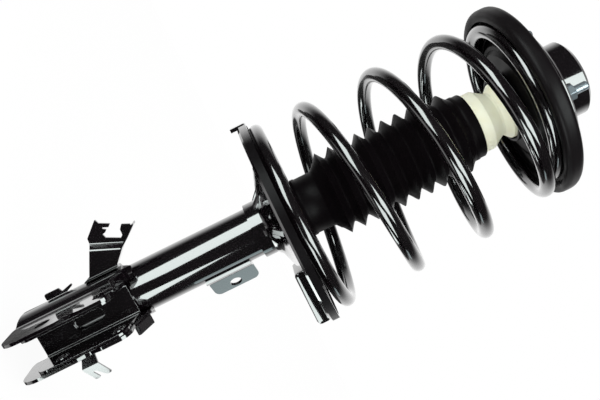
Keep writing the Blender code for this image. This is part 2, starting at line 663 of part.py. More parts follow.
def build_cable_tab(paint):
    """A small plate with one thin prong, on a foot that hugs the wrap."""
    inside = wrap_outside + GAP
    end_angle = 176.0
    base = arc((0.0, 0.0), inside, 156.0, end_angle, 6)
    path = base + turn_off(base, end_angle, CABLE_TAB_SHEET + 0.001, Vector((-1.0, 0.0)),
                           CABLE_TAB_REACH)
    margin = 0.030
    tab = strip("cable_tab", path, CABLE_TAB_BOTTOM - margin, CABLE_TAB_BOTTOM + margin,
                CABLE_TAB_SHEET, paint)
    z = CABLE_TAB_BOTTOM
    top = z + CABLE_TAB_HEIGHT
    prong = 0.0022
    tip = -CABLE_TAB_REACH + 0.0012
    corners = [(0.0, z), (0.0, top), (tip + 0.005 + prong, top), (tip + prong, top + 0.011),
               (tip, top + 0.011), (tip + 0.003, top), (-CABLE_TAB_REACH, top - 0.002),
               (-CABLE_TAB_REACH, z)]
    radii = [0.0, 0.0, 0.001, 0.0008, 0.0008, 0.0005, 0.001, 0.002]
    side = plate("cable_outline", rounded(corners, radii, steps=3), -0.040, 0.040, "Y")
    combine(tab, side, "INTERSECT")
    smooth(tab)


def build_clip_fork(paint):
    """A foot on the right ear between the bolts, and a stem that splits into two prongs."""
    inside = ear_outside + GAP
    hole_y = -EAR_REACH + KNUCKLE_HOLE_INSET
    fold_y = hole_y + 0.007
    tip = CLIP_REACH + 0.010
    path = rounded([(inside, fold_y - CLIP_FOOT), (inside, fold_y), (CLIP_FOLD, fold_y),
                    (tip, fold_y + 0.5 * (tip - CLIP_FOLD))],
                   [0.0, CLIP_SHEET + 0.001, 0.002, 0.0])
    margin = 0.030
    fork = strip("clip_fork", path, CLIP_BOTTOM - margin, CLIP_BOTTOM + CLIP_HEIGHT + margin,
                 CLIP_SHEET, paint)
    z = CLIP_BOTTOM
    top = z + CLIP_HEIGHT
    prong = CLIP_PRONG_HEIGHT
    slot = CLIP_FOLD + 0.006
    spread = 0.0015
    corners = [(0.0, z + 0.006), (inside + 0.002, z + 0.006), (CLIP_FOLD, z),
               (CLIP_REACH, z + CLIP_LEAN), (CLIP_REACH, z + CLIP_LEAN + prong),
               (slot, z + prong + spread), (slot, top - prong - spread),
               (CLIP_REACH, top + CLIP_LEAN - prong), (CLIP_REACH, top + CLIP_LEAN),
               (CLIP_FOLD, top), (inside + 0.002, top + 0.002), (0.0, top + 0.002)]
    radii = [0.0, 0.003, 0.003, 0.001, 0.001, 0.001, 0.001, 0.001, 0.001, 0.003, 0.003, 0.0]
    side = plate("clip_outline", rounded(corners, radii, steps=3), -0.090, 0.0, "Y")
    combine(fork, side, "INTERSECT")
    smooth(fork)


def build_link_bracket(paint):
    """A plate with one hole, on a foot that hugs the tube."""
    inside = TUBE_RADIUS + GAP
    end_angle = -4.0
    foot = arc((0.0, 0.0), inside, -34.0, end_angle, 8)
    along = Vector(polar(1.0, LINK_BRACKET_TURN))
    path = foot + turn_off(foot, end_angle, LINK_BRACKET_SHEET + 0.001, along,
                           LINK_BRACKET_WIDTH + 0.020)
    first = Vector(path[-1]) - along * (LINK_BRACKET_WIDTH + 0.020)
    margin = 0.010
    bracket = strip("link_bracket", path, link_bracket_bottom - margin,
                    link_bracket_bottom + LINK_BRACKET_HEIGHT + margin, LINK_BRACKET_SHEET, paint)
    z = link_bracket_bottom
    top = z + LINK_BRACKET_HEIGHT
    reach = first.x + LINK_BRACKET_WIDTH * along.x
    corners = [(0.0, z + 0.004), (inside, z), (reach, z), (reach, top), (inside, top),
               (0.0, top - 0.004)]
    side = plate("link_outline", rounded(corners, [0.0, 0.0, 0.006, 0.006, 0.0, 0.0]),
                 -0.060, 0.060, "Y")
    combine(bracket, side, "INTERSECT")
    middle = first + along * 0.58 * LINK_BRACKET_WIDTH
    across = Vector((-along.y, along.x)) * 0.012
    height = z + LINK_BRACKET_HEIGHT / 2
    drill = rod("link_hole", LINK_HOLE_RADIUS, (*(middle - across), height),
                (*(middle + across), height))
    combine(bracket, drill, "DIFFERENCE")
    smooth(bracket)


# ---- Spring, seats and soft parts ----
def build_lower_seat(paint, rubber):
    """A pan on a cone and a neck. The neck is round the tube and the pan round the spring, so each
    ring of the turned shape is shifted by the share of the offset that its radius has earned."""
    sheet = SEAT_SHEET
    under = seat_height - sheet
    neck = TUBE_RADIUS + GAP
    flat_inside = 0.78 * seat_radius
    cone_bottom = under - SEAT_CONE_DROP
    neck_bend = 0.004
    rim = seat_height + SEAT_RIM_HEIGHT
    outer = [(seat_radius, rim), (seat_radius, under + 0.002), (seat_radius - 0.002, under),
             (flat_inside, under), (0.6 * flat_inside, under - 0.5 * SEAT_CONE_DROP),
             (neck + sheet + neck_bend, cone_bottom), (neck + sheet, cone_bottom - neck_bend),
             (neck + sheet, seat_neck_bottom)]
    inner = [(neck, seat_neck_bottom), (neck, cone_bottom - neck_bend + 0.5 * sheet),
             (neck + neck_bend, cone_bottom + sheet),
             (0.6 * flat_inside, under - 0.5 * SEAT_CONE_DROP + sheet), (flat_inside, seat_height),
             (seat_radius - sheet, seat_height), (seat_radius - sheet, rim)]
    pan = to_mesh_object(turned("lower_spring_seat", outer + inner, paint), paint)
    reach = flat_inside - neck - sheet
    for vertex in pan.data.vertices:
        radius = math.hypot(vertex.co.x, vertex.co.y)
        share = min(max((radius - neck - sheet) / reach, 0.0), 1.0)
        vertex.co.x += SPRING_OFFSET * share
    pocket_out = SPRING_OFFSET + seat_radius - 0.001
    pocket_in = SPRING_OFFSET + POCKET_INSIDE
    half = POCKET_WIDTH / 2
    drop = under - POCKET_DEPTH
    box = block("pocket_outside", (pocket_in, -half, drop), (pocket_out, half, under + 0.001),
                bevel=0.004)
    hollow = block("pocket_inside", (pocket_in + sheet, -half + sheet, drop + sheet),
                   (pocket_out - sheet, half - sheet, seat_height + 0.010), bevel=0.003)
    combine(pan, box, "UNION")
    combine(pan, hollow, "DIFFERENCE")
    tab_x = SPRING_OFFSET - seat_radius
    tab = block("rim_tab", (tab_x - 0.0005, -0.008, under - 0.006), (tab_x + sheet, 0.008, rim - 0.001))
    combine(pan, tab, "UNION")
    for turn in (90.0, 150.0, 210.0, 270.0):
        combine(pan, seat_rib(turn, neck + sheet - 0.001, 0.66 * seat_radius, cone_bottom, under),
                "UNION")
    smooth(pan)
    pad_inside = SPRING_MEAN_RADIUS - 0.66 * SPRING_WIRE
    pad_outside = seat_radius - sheet - RUNNING_GAP
    smooth(turned("lower_insulator", [
        (pad_inside, pad_top), (pad_outside, pad_top), (pad_outside, seat_height + GAP),
        (pad_inside, seat_height + GAP)], rubber, centre=SPRING_OFFSET))


def seat_rib(turn, inside, outside, low, high):
    """A pressed rib under the cone, as a thin upright triangle with a rounded edge."""
    outline = [(inside, low - 0.008), (inside, low + 0.002), (outside, high + 0.001),
               (outside, high - 0.002), (0.55 * outside, low + 0.001)]
    rib = plate("seat_rib", outline, -0.0035, 0.0035, "Y")
    rib.matrix_world = Matrix.Rotation(math.radians(turn), 4, "Z") @ rib.matrix_world
    soften = rib.modifiers.new("bevel", "BEVEL")
    soften.width = 0.001
    soften.segments = 1
    return rib


def spring_line(count):
    """The wire's centre line. The slope rises smoothly from the flat end turn to the full pitch,
    eases off on the way up and falls to nothing at the top. There the radius closes in and the turn
    comes round onto the damper's axis."""
    turns = np.linspace(0.0, SPRING_TURNS, count)
    lower_blend, upper_blend = 0.5, 0.5
    closing_middle, closing_width = 0.98, 0.8

    def soft_step(middle, width):
        share = np.clip((turns - middle) / width + 0.5, 0.0, 1.0)
        return share * share * (3 - 2 * share)

    slope = soft_step(SPRING_DEAD_TURNS, lower_blend) * (
        1 - soft_step(SPRING_TURNS - SPRING_DEAD_TURNS, upper_blend))
    slope *= 1 + SPRING_PITCH_FALL * (1 - soft_step(SPRING_TURNS / 2, SPRING_TURNS))
    climb = np.concatenate([[0.0], np.cumsum((slope[1:] + slope[:-1]) / 2)])
    height = spring_bottom + SPRING_WIRE / 2 + climb / climb[-1] * (SPRING_LENGTH - SPRING_WIRE)
    closing = soft_step(SPRING_TURNS - closing_middle, closing_width)
    centre = SPRING_OFFSET * (1 - closing)
    radius = SPRING_MEAN_RADIUS + (SPRING_TOP_RADIUS - SPRING_MEAN_RADIUS) * closing
    angle = math.radians(SPRING_START) + 2 * math.pi * turns
    return np.stack([centre + radius * np.cos(angle), radius * np.sin(angle), height], axis=1)


def spring_gap(line):
    """The least distance between the wire and itself, over points at least half a turn apart."""
    apart = len(line) / SPRING_TURNS / 2
    order = np.arange(len(line))
    distance = np.linalg.norm(line[:, None] - line[None], axis=2)
    distance[np.abs(order[:, None] - order[None]) < apart] = np.inf
    return distance.min() - SPRING_WIRE


def build_spring(paint):
    line = spring_line(int(SPRING_TURNS * SPRING_POINTS) + 1)
    print(f"coil_spring: least gap to itself {1000 * spring_gap(spring_line(600)):.2f} mm")
    curve = bpy.data.curves.new("coil_spring", "CURVE")
    curve.dimensions = "3D"
    curve.bevel_depth = SPRING_WIRE / 2
    curve.bevel_resolution = 2
    curve.use_fill_caps = True
    spline = curve.splines.new("POLY")
    spline.points.add(len(line) - 1)
    for point, place in zip(spline.points, line):
        point.co = (*place, 1.0)
    drawn = bpy.data.objects.new("coil_spring", curve)
    parts.objects.link(drawn)
    smooth(to_mesh_object(drawn, paint))


def boot_outline():
    """The outside of the boot from its top: collar, ribs with sharp crests, and the cuff."""
    ribs_top = boot_top - BOOT_COLLAR_LENGTH
    ribs_bottom = cap_top + 0.004
    pitch = (ribs_top - ribs_bottom) / BOOT_RIBS
    cuff = cap_radius + GAP + BOOT_WALL
    points = [(BOOT_COLLAR_RADIUS, boot_top), (BOOT_COLLAR_RADIUS, ribs_top)]
    for i in range(BOOT_RIBS):
        crest = ribs_top - (i + 0.5) * pitch
        points.append((BOOT_RIB_RADIUS, crest))
        valley = ribs_top - (i + 1) * pitch
        points.append((BOOT_VALLEY_RADIUS if i < BOOT_RIBS - 1 else cuff + 0.001, valley))
    points += [(cuff, ribs_bottom - 0.002), (cuff, boot_bottom)]
    return points


def build_soft_parts(rubber, foam):
    outside = boot_outline()
    skin = BOOT_WALL
    ribs_top = boot_top - BOOT_COLLAR_LENGTH
    bore = BOOT_COLLAR_RADIUS - skin - 0.0006
    cuff_bore = cap_radius + GAP
    inside = [(bore, boot_top), (bore, outside[-3][1] + 0.004), (cuff_bore, outside[-3][1]),
              (cuff_bore, boot_bottom)]
    smooth(turned("dust_boot", outside + inside[::-1], rubber, steps=36))
    hole = ROD_RADIUS + RUNNING_GAP + 0.0005
    lobe = bore - GAP
    cup_inside = lobe + 0.0005
    waist_z = bump_top - 0.41 * BUMP_STOP_LOBE
    bulge_z = bump_top - 0.24 * BUMP_STOP_LOBE
    bottom = bump_top - BUMP_STOP_LENGTH
    bulge = lobe - 0.0015
    profile = [(hole, bump_top), (lobe - 0.001, bump_top), (bulge, bump_top - 0.0075),
               (bulge, bulge_z), (bulge - 0.002, bulge_z - 0.002),
                (BUMP_STOP_WAIST_RADIUS, waist_z + 0.001), (BUMP_STOP_WAIST_RADIUS, waist_z - 0.0015),
                (lobe - 0.002, waist_z - 0.010), (lobe, waist_z - 0.013),
                (lobe, boot_top - BOOT_COLLAR_LENGTH + 0.002),
                (0.78 * lobe, boot_top - 0.5 * BOOT_COLLAR_LENGTH - 0.008)]
    tip = BUMP_STOP_TIP_RADIUS
    profile += [(tip + 0.003, bottom + 0.007), (tip, bottom), (hole, bottom)]
    smooth(turned("bump_stop", profile, foam, steps=32))
    return cup_inside


def build_upper_seat(paint, rubber, cup_inside):
    sheet = UPPER_SEAT_SHEET
    hole = ROD_HOLE_RADIUS
    inner_end = STEP_RADIUS - 0.001
    outer_start = STEP_RADIUS + 0.003
    slope_start = SHOULDER_RADIUS - SHOULDER_DROP
    top = [(hole, inner_floor + sheet), (inner_end, inner_floor + sheet),
           (outer_start, outer_floor + sheet), (slope_start - 0.001, outer_floor + sheet),
           (SHOULDER_RADIUS - 0.001, flange_top), (UPPER_SEAT_RADIUS, flange_top)]
    bottom = [(UPPER_SEAT_RADIUS, flange_bottom), (SHOULDER_RADIUS, flange_bottom),
              (slope_start, outer_floor), (outer_start + 0.0005, outer_floor),
              (inner_end + 0.0005, inner_floor), (hole, inner_floor)]
    smooth(turned("upper_spring_seat", top + bottom, paint))

    inside = UPPER_PAD_RADIUS - UPPER_PAD_WIDTH
    out = UPPER_PAD_RADIUS
    low, high = upper_pad_bottom - UPPER_PAD_SKIRT, flange_top + GAP + UPPER_PAD_LIP
    lip = out - UPPER_PAD_LIP_WIDTH
    skirt = out - UPPER_PAD_SKIRT_WIDTH
    bead = 0.006
    groove = UPPER_SEAT_RADIUS + GAP
    outline = ([(lip, high)] + arc((out - bead, high - bead), bead, 90.0, 0.0, 4)
               + arc((out - bead, low + bead), bead, 0.0, -90.0, 4)
               + [(skirt + 0.002, low), (skirt, low + 0.002), (skirt, upper_pad_bottom),
                  (inside, upper_pad_bottom), (inside, flange_bottom - GAP),
                  (groove, flange_bottom - GAP), (groove, flange_top + GAP),
                  (lip, flange_top + GAP)])
    smooth(turned("upper_insulator", outline, rubber))

    cup_out = cup_inside + CUP_SHEET
    smooth(turned("bump_stop_cup", [
        (hole, cup_top), (cup_out - 0.001, cup_top), (cup_out, cup_top - 0.001),
        (cup_out, cup_top - CUP_DEPTH), (cup_inside, cup_top - CUP_DEPTH),
        (cup_inside, cup_top - CUP_SHEET), (hole, cup_top - CUP_SHEET)], paint, steps=32))


# ---- Bearing ----
def groove_arc(height, first, last):
    return arc((BALL_CIRCLE, height), BALL_RADIUS + GAP, first, last, 6)


def build_bearing(steel, plastic):
    half = RACE_WIDTH / 2
    shoulder = 0.5 * BALL_RADIUS
    reach = math.degrees(math.asin(shoulder / (BALL_RADIUS + GAP)))
    low_face = ball_height - shoulder
    high_face = ball_height + shoulder
    inner, outer = BALL_CIRCLE - half, BALL_CIRCLE + half
    lower = ([(inner, low_face)] + groove_arc(ball_height, 180.0 + reach, 360.0 - reach)
             + [(outer, low_face), (outer, race_bottom), (inner, race_bottom)])
    turned("bearing_lower_race", lower, steel, steps=36)
    upper = ([(inner, race_top), (outer, race_top), (outer, high_face)]
             + groove_arc(ball_height, reach, 180.0 - reach) + [(inner, high_face)])
    turned("bearing_upper_race", upper, steel, steps=36)
    cage = ring("bearing_cage", BALL_CIRCLE - CAGE_WIDTH / 2, BALL_CIRCLE + CAGE_WIDTH / 2,
                ball_height - CAGE_HEIGHT / 2, ball_height + CAGE_HEIGHT / 2, plastic, steps=36)
    for i in range(BALLS):
        x, y = polar(BALL_CIRCLE, 360.0 * i / BALLS)
        shape = bmesh.new()
        bmesh.ops.create_uvsphere(shape, u_segments=8, v_segments=6, radius=BALL_RADIUS)
        mesh = bpy.data.meshes.new("ball")
        shape.to_mesh(mesh)
        shape.free()
        ball = add_object(f"ball_{i}", mesh, None)
        ball.location = (x, y, ball_height)
        combine(cage, ball, "UNION")


# ---- Top mount ----
def build_mount(paint, rubber, steel, zinc):
    sheet = MOUNT_SHEET
    rim = 0.002
    bend = 0.003
    mouth = DOME_MOUTH_RADIUS
    top = [(mouth, dome_top), (DOME_RADIUS - bend, dome_top), (DOME_RADIUS, dome_top - bend),
           (DOME_RADIUS, plate_top + rim), (DOME_RADIUS + rim, plate_top),
           (MOUNT_RADIUS - rim, plate_top), (MOUNT_RADIUS, plate_top - rim),
           (MOUNT_RADIUS, plate_top - MOUNT_SKIRT)]
    bottom = [(MOUNT_RADIUS - sheet, plate_top - MOUNT_SKIRT),
              (MOUNT_RADIUS - sheet, plate_bottom), (DOME_RADIUS - sheet, plate_bottom),
              (DOME_RADIUS - sheet, dome_top - sheet), (mouth, dome_top - sheet)]
    housing = to_mesh_object(turned("mount_plate", top + bottom, paint, steps=40), paint)
    for i, turn in enumerate(STUD_ANGLES):
        x, y = polar(STUD_CIRCLE, turn)
        drill = rod(f"stud_hole_{i}", STUD_RADIUS + GAP, (x, y, plate_bottom - 0.004),
                    (x, y, plate_top + 0.004))
        combine(housing, drill, "DIFFERENCE")
    smooth(housing)

    bond = DOME_RADIUS - sheet - GAP
    rubber_top = dome_top - sheet - GAP
    rubber_bottom = core_bottom + 0.006
    core = CORE_RADIUS + GAP
    smooth(turned("mount_rubber", [
        (core, core_top - 0.006), (core + 0.003, rubber_top), (bond - 0.003, rubber_top),
        (bond, rubber_top - 0.003), (bond, rubber_bottom + 0.003), (bond - 0.004, rubber_bottom),
        (core + 0.004, rubber_bottom), (core, rubber_bottom + 0.004)], rubber, steps=INNER_FACETS))
    turned("mount_core", [(ROD_THREAD_RADIUS + GAP, core_top), (CORE_RADIUS, core_top),
                          (CORE_RADIUS, core_bottom), (ROD_THREAD_RADIUS + GAP, core_bottom)], steel,
           steps=INNER_FACETS)
    ring("rod_washer", ROD_THREAD_RADIUS + GAP, WASHER_RADIUS, core_top + GAP, washer_top, zinc,
         steps=INNER_FACETS)
    hexagon("rod_nut", ROD_NUT_WIDTH, rod_nut_bottom, rod_nut_bottom + ROD_NUT_HEIGHT,
            ROD_THREAD_RADIUS + GAP, (0.0, 0.0), zinc)
    for i, turn in enumerate(STUD_ANGLES):
        x, y = polar(STUD_CIRCLE, turn)
        head_top = plate_bottom - GAP
        tip = plate_top + STUD_LENGTH
        stud = turned(f"mount_stud_{i + 1}", [
            (0.0, tip), (STUD_RADIUS - 0.001, tip), (STUD_RADIUS, tip - 0.0015),
            (STUD_RADIUS, head_top), (STUD_HEAD_RADIUS, head_top),
            (STUD_HEAD_RADIUS, head_top - STUD_HEAD_HEIGHT), (0.0, head_top - STUD_HEAD_HEIGHT)],
            zinc, steps=16)
        stud.location = (x, y, 0.0)
        hexagon(f"mount_nut_{i + 1}", MOUNT_NUT_WIDTH, plate_top + GAP,
                plate_top + GAP + MOUNT_NUT_HEIGHT, STUD_RADIUS + GAP, (x, y), zinc)


clear_scene()
parts = collection("strut_assembly")
cutters = collection("cutters")
gloss_black = material("gloss_black_paint", (0.01, 0.01, 0.011), 0.12, 0.0)
powder_coat = material("spring_powder_coat", (0.012, 0.012, 0.013), 0.2, 0.0)
black_rubber = material("black_rubber", (0.018, 0.018, 0.018), 0.55, 0.0)
cream_urethane = material("cream_urethane", (0.86, 0.85, 0.68), 0.5, 0.0)
zinc_plate = material("zinc_plate", (0.72, 0.76, 0.78), 0.25, 1.0)
plain_steel = material("machined_steel", (0.55, 0.55, 0.56), 0.3, 1.0)
chrome_plate = material("hard_chrome", (0.8, 0.8, 0.82), 0.08, 1.0)
sintered_bronze = material("sintered_bronze", (0.55, 0.38, 0.2), 0.45, 1.0)
piston_ptfe = material("bronze_filled_ptfe", (0.22, 0.13, 0.07), 0.5, 0.0)
cage_nylon = material("white_nylon", (0.8, 0.8, 0.76), 0.45, 0.0)

build_damper(plain_steel, gloss_black, zinc_plate, black_rubber, sintered_bronze)
build_rod(chrome_plate, plain_steel, piston_ptfe, black_rubber, zinc_plate)
build_bracket(gloss_black)
build_channel(gloss_black)
build_hose_bracket(gloss_black)
build_cable_tab(gloss_black)
build_clip_fork(gloss_black)
build_link_bracket(gloss_black)
build_lower_seat(gloss_black, black_rubber)
build_spring(powder_coat)
cup_bore = build_soft_parts(black_rubber, cream_urethane)
build_upper_seat(gloss_black, black_rubber, cup_bore)
build_bearing(plain_steel, cage_nylon)
build_mount(gloss_black, black_rubber, plain_steel, zinc_plate)
bpy.context.view_layer.update()
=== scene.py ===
import json
import math

import bmesh
import bpy
import numpy as np
from mathutils import Matrix, Quaternion, Vector


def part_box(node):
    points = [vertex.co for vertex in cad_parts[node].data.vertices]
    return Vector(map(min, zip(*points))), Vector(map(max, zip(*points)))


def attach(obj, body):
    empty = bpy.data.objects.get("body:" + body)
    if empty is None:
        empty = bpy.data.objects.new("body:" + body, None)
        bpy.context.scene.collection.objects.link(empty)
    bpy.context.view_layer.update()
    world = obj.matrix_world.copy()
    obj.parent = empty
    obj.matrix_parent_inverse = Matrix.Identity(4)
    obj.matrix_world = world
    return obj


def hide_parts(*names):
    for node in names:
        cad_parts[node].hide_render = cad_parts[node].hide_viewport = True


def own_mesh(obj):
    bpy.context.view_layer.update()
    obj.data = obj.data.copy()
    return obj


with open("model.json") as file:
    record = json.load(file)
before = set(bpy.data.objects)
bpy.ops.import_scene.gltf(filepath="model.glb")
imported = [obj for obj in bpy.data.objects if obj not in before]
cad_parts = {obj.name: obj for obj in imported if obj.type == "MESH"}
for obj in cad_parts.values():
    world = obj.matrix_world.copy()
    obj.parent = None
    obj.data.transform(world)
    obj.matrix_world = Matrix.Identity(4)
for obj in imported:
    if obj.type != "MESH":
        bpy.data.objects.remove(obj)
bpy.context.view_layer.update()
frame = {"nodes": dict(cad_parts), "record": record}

millimetre = 0.001


def linearColour(hexCode):
    # sRGB hex to linear RGBA
    channels = [int(hexCode[i:i + 2], 16) / 255 for i in (1, 3, 5)]
    return [c / 12.92 if c <= 0.04045 else ((c + 0.055) / 1.055) ** 2.4 for c in channels] + [1.0]


def perMetre(sizeMm):
    # the texture scale at which a lump or cell is about this many millimetres across
    return 1 / (sizeMm * millimetre)


def rangeInputs(value, limits):
    # limits are (from low, from high, to low, to high)
    return dict(zip(("From Min", "From Max", "To Min", "To Max"), limits), Value=value)


def addNode(tree, kind, settings=None, inputs=None):
    # one node with its settings; an input is a value, or a (node, output) pair to link
    node = tree.nodes.new(kind)
    for name, value in (settings or {}).items():
        setattr(node, name, value)
    for name, value in (inputs or {}).items():
        if isinstance(value, tuple) and isinstance(value[0], bpy.types.Node):
            tree.links.new(value[0].outputs[value[1]], node.inputs[name])
        else:
            node.inputs[name].default_value = value
    return node


def newMaterial(name):
    made = bpy.data.materials.new(name)
    made.use_nodes = True
    return made, made.node_tree, made.node_tree.nodes["Principled BSDF"]


noiseSpan = (0.35, 0.65)        # between these lies nearly all of what a noise gives


def wireSurface(tree, shader, look, tint, satin, relief=None):
    # tint mixes the two colours, satin spreads the roughness and relief is the bump's height;
    # the sockets are what is the same all over the surface
    colour = addNode(tree, "ShaderNodeMix", {"data_type": "RGBA"},
                     {0: tint, 6: linearColour(look["colour"]), 7: linearColour(look["shade"])})
    tree.links.new(colour.outputs[2], shader.inputs["Base Color"])
    spread = addNode(tree, "ShaderNodeMapRange", None,
                     rangeInputs(satin, look.get("span", noiseSpan) + look["roughness"]))
    tree.links.new(spread.outputs["Result"], shader.inputs["Roughness"])
    if relief:
        bump = addNode(tree, "ShaderNodeBump", None,
                       {"Height": relief, "Strength": look["bump"],
                        "Distance": look["reliefMm"] * millimetre})
        tree.links.new(bump.outputs["Normal"], shader.inputs["Normal"])
    for socket, value in look.get("sockets", {}).items():
        shader.inputs[socket].default_value = value


def cloudedFinish(name, look):
    # paint, rubber or plastic: slow clouds in colour and gloss, and a fine grain where it has one;
    # real peel and grain are finer, and are drawn as coarse as they need to be to show
    made, tree, shader = newMaterial(name)
    place = addNode(tree, "ShaderNodeTexCoord")
    cloud = addNode(tree, "ShaderNodeTexNoise", None,
                    {"Vector": (place, "Object"), "Scale": perMetre(look["cloudMm"]),
                     "Detail": look["cloudDetail"]})
    relief = None
    if "grainMm" in look:
        grain = addNode(tree, "ShaderNodeTexNoise", None,
                        {"Vector": (place, "Object"), "Scale": perMetre(look["grainMm"]),
                         "Detail": look["grainDetail"],
                         "Roughness": look.get("grainRoughness", 0.5)})
        relief = (grain, "Fac")
    wireSurface(tree, shader, look, (cloud, "Fac"), (cloud, "Fac"), relief)
    return made


def glossEnamel():
    # stoved black enamel on pressed steel: a hard clear gloss with a faint orange peel
    return cloudedFinish("glossBlackEnamel", {
        "colour": "#080507", "shade": "#100c0f", "roughness": (0.10, 0.17),
        "cloudMm": 30.0, "cloudDetail": 3.0,
        "grainMm": 4.0, "grainDetail": 2.0, "reliefMm": 0.012, "bump": 0.5,
        "sockets": {"Coat Weight": 1.0, "Coat Roughness": 0.03, "Coat IOR": 2.2}})


def dipCoat():
    # electrophoretic dip coat on the upper seat: satin black, no clear coat over it
    return cloudedFinish("satinDipCoat", {
        "colour": "#080607", "shade": "#121012", "roughness": (0.30, 0.40),
        "cloudMm": 26.0, "cloudDetail": 3.0,
        "grainMm": 1.6, "grainDetail": 2.0, "reliefMm": 0.01, "bump": 0.4,
        "sockets": {"IOR": 1.20}})


def springPowderCoat():
    # powder coat baked on the wire: as black, with softer and slightly rounder peel
    return cloudedFinish("springPowderCoat", {
        "colour": "#070406", "shade": "#0e0a0c", "roughness": (0.14, 0.22),
        "cloudMm": 22.0, "cloudDetail": 2.0,
        "grainMm": 2.5, "grainDetail": 2.0, "reliefMm": 0.016, "bump": 0.5,
        "sockets": {"Coat Weight": 1.0, "Coat Roughness": 0.06, "Coat IOR": 2.1}})


def mouldedRubber():
    # moulded rubber: satin black with a fine grain and a grey bloom in patches
    return cloudedFinish("mouldedRubber", {
        "colour": "#0a0709", "shade": "#130f11", "roughness": (0.34, 0.46),
        "cloudMm": 25.0, "cloudDetail": 3.0,
        "grainMm": 0.8, "grainDetail": 3.0, "grainRoughness": 0.6, "reliefMm": 0.03, "bump": 0.6,
        "sockets": {"IOR": 1.26}})


def bootThermoplastic():
    # blow-moulded thermoplastic rubber: as black, duller, with a coarser and shallower grain
    return cloudedFinish("bootThermoplastic", {
        "colour": "#090608", "shade": "#100c0e", "roughness": (0.38, 0.50),
        "cloudMm": 25.0, "cloudDetail": 3.0,
        "grainMm": 1.2, "grainDetail": 3.0, "grainRoughness": 0.6, "reliefMm": 0.02, "bump": 0.6,
        "sockets": {"IOR": 1.18}})


def mouldedPlastic(name, colour, shade, roughness):
    # moulded nylon or filled PTFE, satin with a slight mottle
    return cloudedFinish(name, {"colour": colour, "shade": shade, "roughness": roughness,
                                "cloudMm": 6.0, "cloudDetail": 3.0})


def creamUrethane():
    # cast microcellular urethane: cream, matt, with closed cells that show as fine pits
    look = {"colour": "#f6f6e6", "shade": "#efeccb", "roughness": (0.42, 0.55), "span": (0.1, 0.7),
            "cloudMm": 14.0, "cloudDetail": 3.0, "cellMm": 1.1, "reliefMm": 0.10, "bump": 0.35,
            "sockets": {"Subsurface Weight": 0.12, "Subsurface Radius": (0.003, 0.0025, 0.0015)}}
    made, tree, shader = newMaterial("creamUrethane")
    place = addNode(tree, "ShaderNodeTexCoord")
    cells = addNode(tree, "ShaderNodeTexVoronoi", None,
                    {"Vector": (place, "Object"), "Scale": perMetre(look["cellMm"])})
    cloud = addNode(tree, "ShaderNodeTexNoise", None,
                    {"Vector": (place, "Object"), "Scale": perMetre(look["cloudMm"]),
                     "Detail": look["cloudDetail"]})
    wireSurface(tree, shader, look, (cloud, "Fac"), (cells, "Distance"), (cells, "Distance"))
    return made


def metalFinish(name, colour, shade, roughness, grainMm, stretch, reliefMm):
    # bare or plated metal: one grain, drawn out round the axis where it was turned, tints it,
    # spreads its gloss and stands in relief; it is coarser than real tool marks, so that it shows
    look = {"colour": colour, "shade": shade, "roughness": roughness, "reliefMm": reliefMm,
            "bump": 0.5, "grainDetail": 4.0, "sockets": {"Metallic": 1.0}}
    made, tree, shader = newMaterial(name)
    place = addNode(tree, "ShaderNodeTexCoord")
    squeeze = addNode(tree, "ShaderNodeMapping", None,
                      {"Vector": (place, "Object"), "Scale": stretch})
    grain = addNode(tree, "ShaderNodeTexNoise", None,
                    {"Vector": (squeeze, "Vector"), "Scale": perMetre(grainMm),
                     "Detail": look["grainDetail"]})
    wireSurface(tree, shader, look, (grain, "Fac"), (grain, "Fac"), (grain, "Fac"))
    return made


def makeMaterials():
    even = (1.0, 1.0, 1.0)
    turned = (1.0, 1.0, 14.0)        # grooves lie round Z
    return {
        "gloss_black_paint": glossEnamel(),
        "dip_coat": dipCoat(),
        "spring_powder_coat": springPowderCoat(),
        "black_rubber": mouldedRubber(),
        "boot_rubber": bootThermoplastic(),
        "cream_urethane": creamUrethane(),
        # clear passivated zinc, bluish and half matt
        "zinc_plate": metalFinish("brightZincPlate", "#cfd9e0", "#b9c6cf", (0.37, 0.49), 1.5,
                                  even, 0.006),
        # steel as the lathe leaves it, with rings that catch the light
        "machined_steel": metalFinish("turnedSteel", "#b4b4b6", "#8f8f92", (0.25, 0.37), 2.0,
                                      turned, 0.008),
        # ground and plated rod, close to a mirror
        "hard_chrome": metalFinish("hardChrome", "#dcdce0", "#cfcfd4", (0.05, 0.17), 3.0,
                                   turned, 0.002),
        # pressed powder: brown, dull and open-grained
        "sintered_bronze": metalFinish("sinteredBronze", "#b08a55", "#8a6a3e", (0.37, 0.49), 0.8,
                                       even, 0.03),
        "bronze_filled_ptfe": mouldedPlastic("bronzeFilledPtfe", "#6b4a30", "#57391f",
                                             (0.40, 0.50)),
        "white_nylon": mouldedPlastic("whiteNylon", "#ecebe4", "#dddcd2", (0.35, 0.45)),
    }


def meshFromGrid(name, grid, closedAlong=True):
    # grid[i, j] is a point; a face joins each point to its neighbours, j runs round and closes,
    # and where i doesn't close, one face covers each end
    rows, columns = grid.shape[:2]
    index = np.arange(rows * columns).reshape(rows, columns)
    ends = [] if closedAlong else [index[0].tolist(), index[-1, ::-1].tolist()]
    if closedAlong:
        index = np.concatenate([index, index[:1]])
    index = np.concatenate([index, index[:, :1]], axis=1)
    corners = np.stack([index[:-1, :-1], index[:-1, 1:], index[1:, 1:], index[1:, :-1]], axis=-1)
    mesh = bpy.data.meshes.new(name)
    mesh.from_pydata(grid.reshape(-1, 3).tolist(), [], corners.reshape(-1, 4).tolist() + ends)
    return mesh


